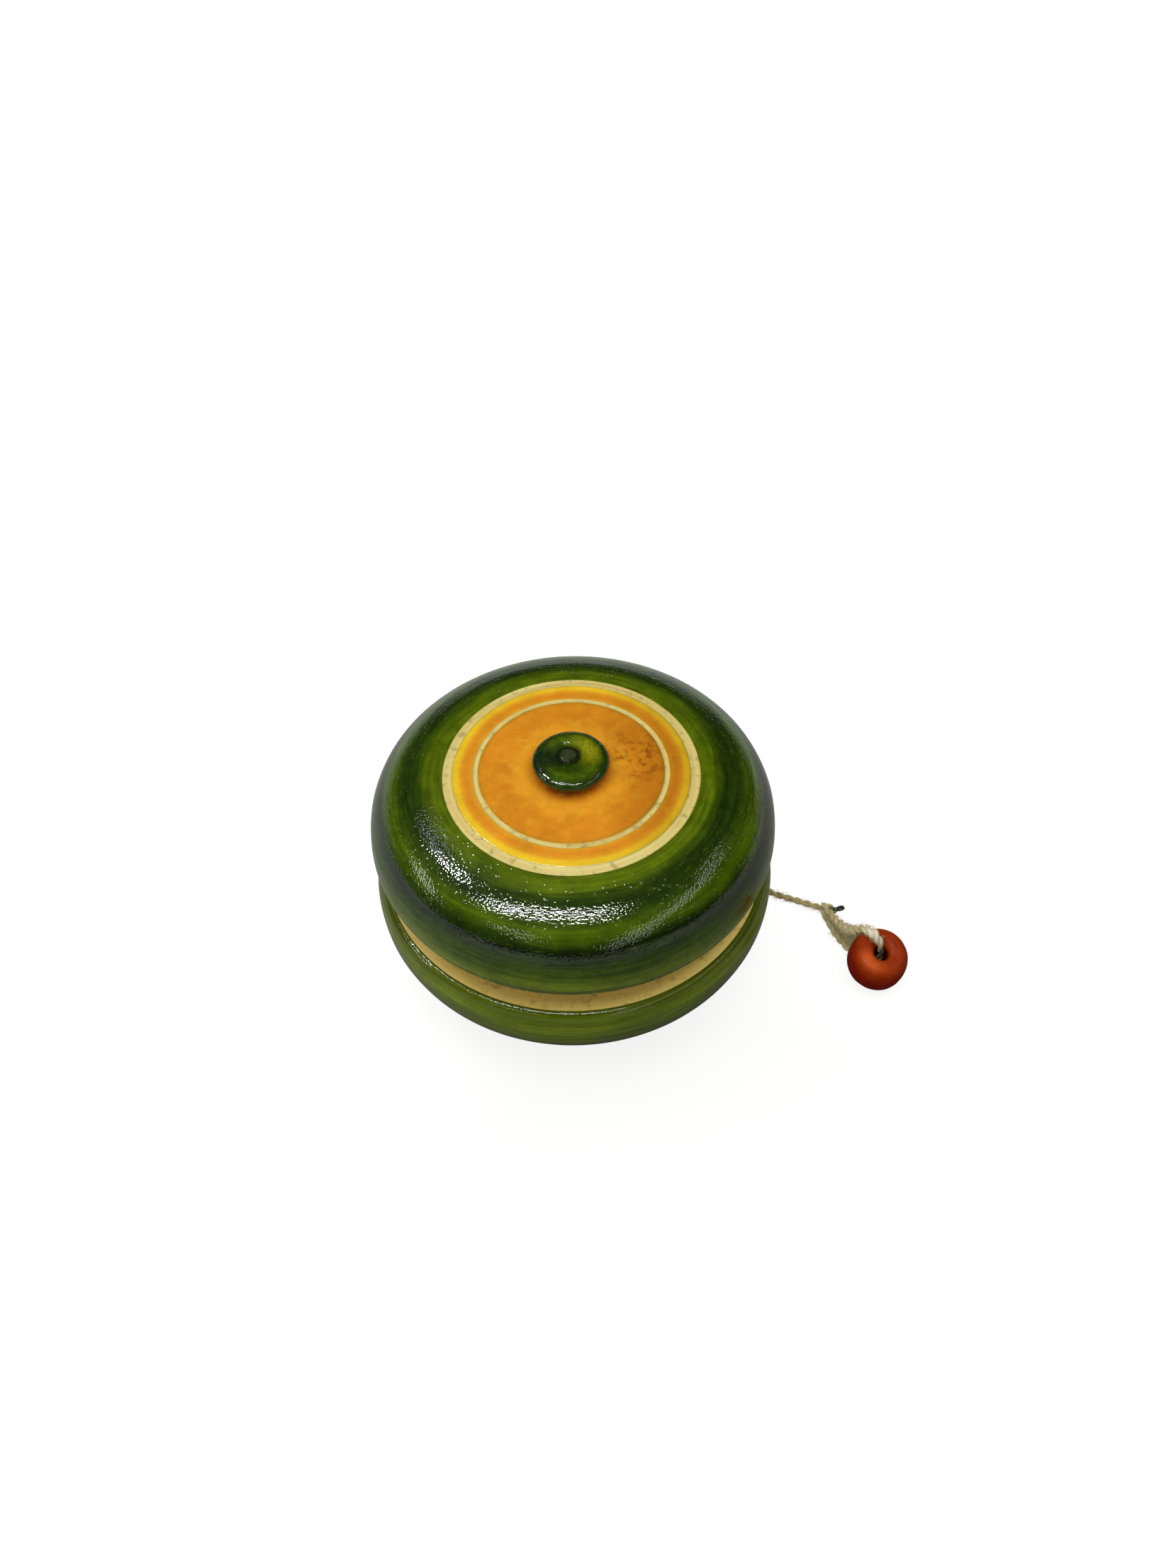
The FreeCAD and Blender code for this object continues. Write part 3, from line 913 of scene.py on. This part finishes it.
def hair_points(root, lean, out, bend):
    """Four points of a curved hair, from its root."""
    return [root + share * (lean + out) + share ** 2 * bend for share in (0, 0.33, 0.66, 1)]


def standing_hairs(line, thickness, shown, dice):
    """Short hairs that stand off the string anywhere in sight."""
    across, up = frames(line)
    hairs = []
    for _ in range(FIBRES):
        k = dice.choice(shown)
        angle = dice.uniform(0, 2 * math.pi)
        out = math.cos(angle) * across[k] + math.sin(angle) * up[k]
        ahead = np.cross(across[k], up[k])
        length = dice.uniform(*HAIR_LENGTHS)
        lean = length * dice.uniform(-1.0, 1.0) * ahead
        bend = length * dice.uniform(-0.6, 0.6) * np.cross(out, ahead)
        root = line[k] + out * thickness[k] * 0.4
        hairs.append(hair_points(root, lean, length * 0.35 * out, bend))
    return hairs


def anywhere(dice):
    """A point anywhere in a box that reaches 1 each way."""
    return np.array([dice.uniform(-1, 1) for _ in range(3)])


def strand_hairs(line, dice):
    """Hairs that hold the loop's two strands together between the knot and the bead."""
    from_knot = np.linalg.norm(line - np.array(KNOT_CENTRE), axis=1)
    start = int(np.argmin(from_knot[:-60]))
    joined = [k for k in range(start, len(line)) if from_knot[k] < STRANDS_END]
    going = [k for k in joined if line[k][2] > STRAND_DIVIDE]
    coming = [k for k in joined if line[k][2] <= STRAND_DIVIDE and k > max(going)]
    hairs = []
    for _ in range(STRAND_FIBRES):
        a = dice.choice(going)
        b = min(coming, key=lambda k: abs(from_knot[k] - from_knot[a]))
        b = min(max(b + dice.randint(-5, 5), min(coming)), max(coming))
        ends = [line[k] + anywhere(dice) * STRING * 0.4 for k in (a, b)]
        bend = anywhere(dice) * STRING * 0.5
        hairs.append(hair_points(ends[0], ends[1] - ends[0], -bend, bend))
    return hairs


def make_loose_fibres(line, thickness, material):
    """The string's loose cotton hairs, as thin three-sided tubes."""
    dice = random.Random(11)
    from_bead = np.linalg.norm(line - np.array(BEAD_CENTRE), axis=1)
    outside = np.hypot(line[:, 0], line[:, 1]) > BODY_RADIUS * MM * 0.9
    shown = [int(k) for k in np.flatnonzero(outside & (from_bead > BEAD_CLEAR))]
    verts, faces = [], []
    for hair in standing_hairs(line, thickness, shown, dice) + strand_hairs(line, dice):
        start = len(verts)
        ahead = hair[-1] - hair[0]
        side = np.cross(ahead, (0.2, 0.5, 1.0))
        side /= np.linalg.norm(side)
        over = np.cross(ahead, side) / np.linalg.norm(ahead)
        for share, place in zip((1, 0.9, 0.75, 0.4), hair):
            for spoke in (0, 2 * math.pi / 3, 4 * math.pi / 3):
                out = math.cos(spoke) * side + math.sin(spoke) * over
                rim = place + FIBRE_RADIUS * share * out
                verts.append((rim[0], rim[1], max(rim[2], FIBRE_RADIUS)))
        for step in range(3):
            for turn in range(3):
                here, after = start + step * 3 + turn, start + step * 3 + (turn + 1) % 3
                faces.append((here, after, after + 3, here + 3))
        faces.append((start, start + 2, start + 1))
        faces.append((start + 9, start + 10, start + 11))
    mesh = bpy.data.meshes.new("loose_fibres")
    mesh.from_pydata(verts, [], faces)
    # The hairs are painted paler: painted light against their shade.
    worn = mesh.attributes.new("worn", "FLOAT", "POINT")
    worn.data.foreach_set("value", [HAIR_PAINTED_LIGHT] * len(verts))
    return finished("loose_fibres", mesh, [material])


def make_string_group():
    """The string with its knot, hairs and dipped end, and the bead on its loop."""
    fibre = make_string_fibre("cotton_string", COTTON_PALE, COTTON_DULL, COTTON_DIRT)
    string, line, thickness = make_string(fibre)
    fibres = make_loose_fibres(line, thickness, fibre)
    knot = make_knot(fibre)
    tail = make_tail(make_dipped_string())
    bead = make_bead(make_bead_lac())
    pieces = (
        (string, "cotton_string"), (knot, "cotton_string"), (fibres, "cotton_string"),
        (tail, "dipped_string"),
    )
    for piece, slot in pieces:
        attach(piece, "string")
    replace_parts(string, "string_winding", "string_lead", "string_bead_loop")
    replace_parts(knot, "string_knot")
    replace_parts(tail, "string_tail")


# ------------------------------------------------------------------ body

def make_body():
    """Both halves, both buttons and the axle."""
    lac = make_body_lac()
    ring_wood = make_bare_wood("ring_wood", CREAM, CREAM_DARK, 1.6)
    face_wood = make_bare_wood("face_wood", BARE_WOOD, BARE_WOOD_DARK, 1.1)
    for name, node, side in (("upper_turned", "upper_half", 1), ("lower_turned", "lower_half", -1)):
        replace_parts(make_half(name, side, [lac, ring_wood, face_wood]), node)
    button_lac = make_button_lac()
    for name, node, side in (("upper_knob", "upper_button", 1), ("lower_knob", "lower_button", -1)):
        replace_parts(make_button(name, side, button_lac), node)
    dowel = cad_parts["axle"]
    dowel.data.materials.clear()
    dowel.data.materials.append(make_dowel_wood())


def make_dowel_wood():
    """The axle's softwood, with its grain along the axle."""
    recipe = Recipe("dowel_wood")
    spot = recipe.place()
    stretched = recipe.step("VectorMath", spot, (1, 1, 0.12), operation="MULTIPLY")
    grain = recipe.noise(stretched, 900, 4, 0.6)
    colour = recipe.blend(recipe.between(grain, 0.3, 0.7), DOWEL_DARK, DOWEL_LIGHT)
    recipe.put(Base_Color=colour, Roughness=0.65, Normal=recipe.bump(grain, 0.00006, 0.6))
    return recipe.material


# ------------------------------------------------------------------ camera, light and table

def make_camera():
    data = bpy.data.cameras.new("camera")
    data.sensor_fit = "HORIZONTAL"
    data.sensor_width = 36
    data.lens = LENS
    data.clip_start = 0.01
    camera = bpy.data.objects.new("camera", data)
    bpy.context.scene.collection.objects.link(camera)
    forward = CAMERA_AIM.normalized()
    level = forward.cross(Vector((0, 0, 1))).normalized()
    above = level.cross(forward)
    right = level * math.cos(CAMERA_ROLL) + above * math.sin(CAMERA_ROLL)
    axes = Matrix((right, right.cross(forward), -forward)).transposed()
    camera.matrix_world = Matrix.Translation(CAMERA_PLACE) @ axes.to_4x4()
    bpy.context.scene.camera = camera


def towards(azimuth, elevation):
    """The direction at that azimuth, from +Y towards +X, and elevation, in degrees."""
    a, e = math.radians(azimuth), math.radians(elevation)
    return Vector((math.sin(a) * math.cos(e), math.cos(a) * math.cos(e), math.sin(e)))


def make_lamp(name, start, end, width, power, distance=1.0, mirrored=True, tint=(1, 1, 1)):
    """A straight lamp that the toy sees between two directions (azimuth, elevation).

    A mirrored lamp shows only in reflections, and any other lamp only as light on surfaces.
    """
    a, b = [towards(*direction) * distance for direction in (start, end)]
    data = bpy.data.lights.new(name, "AREA")
    data.shape = "RECTANGLE"
    data.size = (b - a).length
    data.size_y = width
    data.energy = power
    data.color = tint
    lamp = bpy.data.objects.new(name, data)
    bpy.context.scene.collection.objects.link(lamp)
    middle = (a + b) / 2
    back = middle.normalized()
    along = (b - a - back * (b - a).dot(back)).normalized()
    axes = Matrix((along, back.cross(along), back)).transposed()
    lamp.matrix_world = Matrix.Translation(middle + Vector((0, 0, GAP_MID))) @ axes.to_4x4()
    lamp.visible_glossy = mirrored
    lamp.visible_diffuse = not mirrored


def make_light():
    """Two soft lamps that light the toy, and thin ones that only show as reflections in its lac."""
    make_lamp("overhead_soft", (-90, 50), (90, 50), 1.1, 16.8, distance=1.3, mirrored=False)
    make_lamp("front_fill", (-178, 12), (-118, 12), 0.5, 6.8, distance=1.2, mirrored=False)
    make_lamp("window", (-70, 55.5), (-73.5, 57.5), 0.065, 5.2)
    make_lamp("window_edge", (-50, 47), (-62, 52), 0.09, 0.28, tint=(0.85, 0.8, 1.0))
    make_lamp("tube_above", (-110, 59), (140, 72), 0.03, 7.0)
    make_lamp("tube_right", (76, 44), (165, 21), 0.035, 1.2)
    make_lamp("low_left", (-80, 33), (-100, 24), 0.05, 1.0)
    make_lamp("low_front", (-134, 41), (-157, 38), 0.025, 0.45)


def make_world():
    """A dark room that a lens sees as a pale backdrop."""
    world = bpy.data.worlds.new("studio")
    bpy.context.scene.world = world
    world.use_nodes = True
    nodes, links = world.node_tree.nodes, world.node_tree.links
    room = nodes["Background"]
    room.inputs["Color"].default_value = (0.008, 0.009, 0.009, 1)
    backdrop = nodes.new("ShaderNodeBackground")
    backdrop.inputs["Color"].default_value = (0.93, 0.93, 0.93, 1)
    path = nodes.new("ShaderNodeLightPath")
    both = nodes.new("ShaderNodeMixShader")
    links.new(path.outputs["Is Camera Ray"], both.inputs[0])
    links.new(room.outputs[0], both.inputs[1])
    links.new(backdrop.outputs[0], both.inputs[2])
    links.new(both.outputs[0], nodes["World Output"].inputs["Surface"])
    bpy.context.scene.view_settings.view_transform = "Standard"


def make_table():
    """A round table top with a low curb, which a lens sees as white as the backdrop."""
    outline = [(0, 0), (0.3, 0), (0.85, 0), (0.97, 0.02), (1.02, 0.11), (0, -0.01)]
    rows = len(outline)
    mesh = turned_mesh("table", outline, [0] * rows, [0] * rows, TABLE_SEGMENTS, closed=False)
    flip(mesh)
    table = finished("table", mesh, [])
    recipe = Recipe("pale_table")
    # Darker near the toy: a painted shadow round it, which the lac reflects.
    reach = recipe.between(recipe.distance(recipe.place(), (0.02, -0.06, 0)), 0.04, 0.2)
    seen = recipe.step("LightPath")
    recipe.put(
        Base_Color=recipe.blend(reach, (0.13, 0.13, 0.12), (0.68, 0.7, 0.66)),
        Roughness=0.7, Specular_IOR_Level=0.1, Emission_Color=(1, 1, 1),
        Emission_Strength=recipe.math("MULTIPLY", seen, TABLE_GLOW),
    )
    table.data.materials.append(recipe.material)


make_camera()
make_string_group()
make_body()
make_world()
make_light()
make_table()
